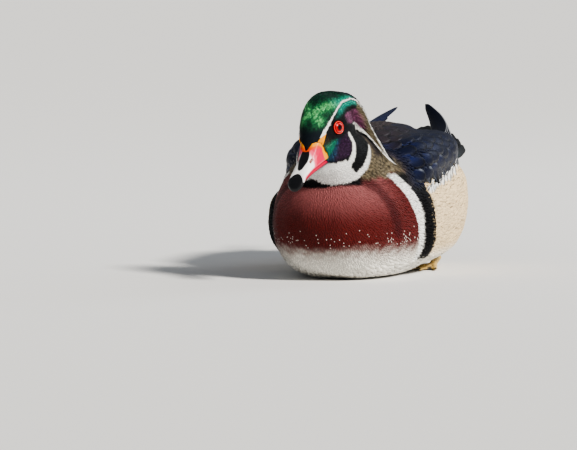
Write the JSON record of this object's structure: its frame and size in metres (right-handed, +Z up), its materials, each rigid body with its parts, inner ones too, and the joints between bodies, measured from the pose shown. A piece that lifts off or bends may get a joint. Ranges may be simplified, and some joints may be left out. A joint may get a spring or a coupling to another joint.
{
  "type": "wood duck",
  "caption": "Life-size still model of a drake wood duck at rest on its belly, head lowered, with swept-back crest, hooked bill, folded wings, fanned tail and tucked webbed feet.",
  "frame": {"origin": "on the floor under the middle of the bird's length and width", "axes": "+Z up, the breast towards -Y, the tail towards +Y, the bird's left towards +X"},
  "size_m": [0.152, 0.3903, 0.1613],
  "materials": {
    "chestnut_feathers": "soft feathers, chestnut to maroon",
    "neck_feathers": "soft feathers, white throat over brown",
    "head_feathers": "glossy green, blue and purple feathers with white lines",
    "crest_feathers": "glossy long feathers with two white lines",
    "tail_feathers": "blackish feathers with a blue-green gloss",
    "wing_feathers": "blue-black feathers",
    "flank_feathers": "pale buff feathers with fine bars",
    "quill_feathers": "stiff dark blue flight feathers",
    "bill": "satin, red, white and black",
    "lower_bill": "satin",
    "foot": "scaled skin",
    "eye": "wet gloss",
    "eyelid": "bare skin ring"
  },
  "bodies": {
    "root": {"trunk": "chestnut_feathers", "neck": "neck_feathers", "head": "head_feathers", "crest": "crest_feathers", "tail": "tail_feathers", "bill_upper": "bill", "bill_lower": "lower_bill", "wing_left": "wing_feathers", "wing_right": "wing_feathers", "flank_left": "flank_feathers", "flank_right": "flank_feathers", "primaries_left": "quill_feathers", "primaries_right": "quill_feathers", "foot_left": "foot", "foot_right": "foot", "eye_left": "eye", "eye_right": "eye", "eyelid_left": "eyelid", "eyelid_right": "eyelid"}
  },
  "joints": []
}
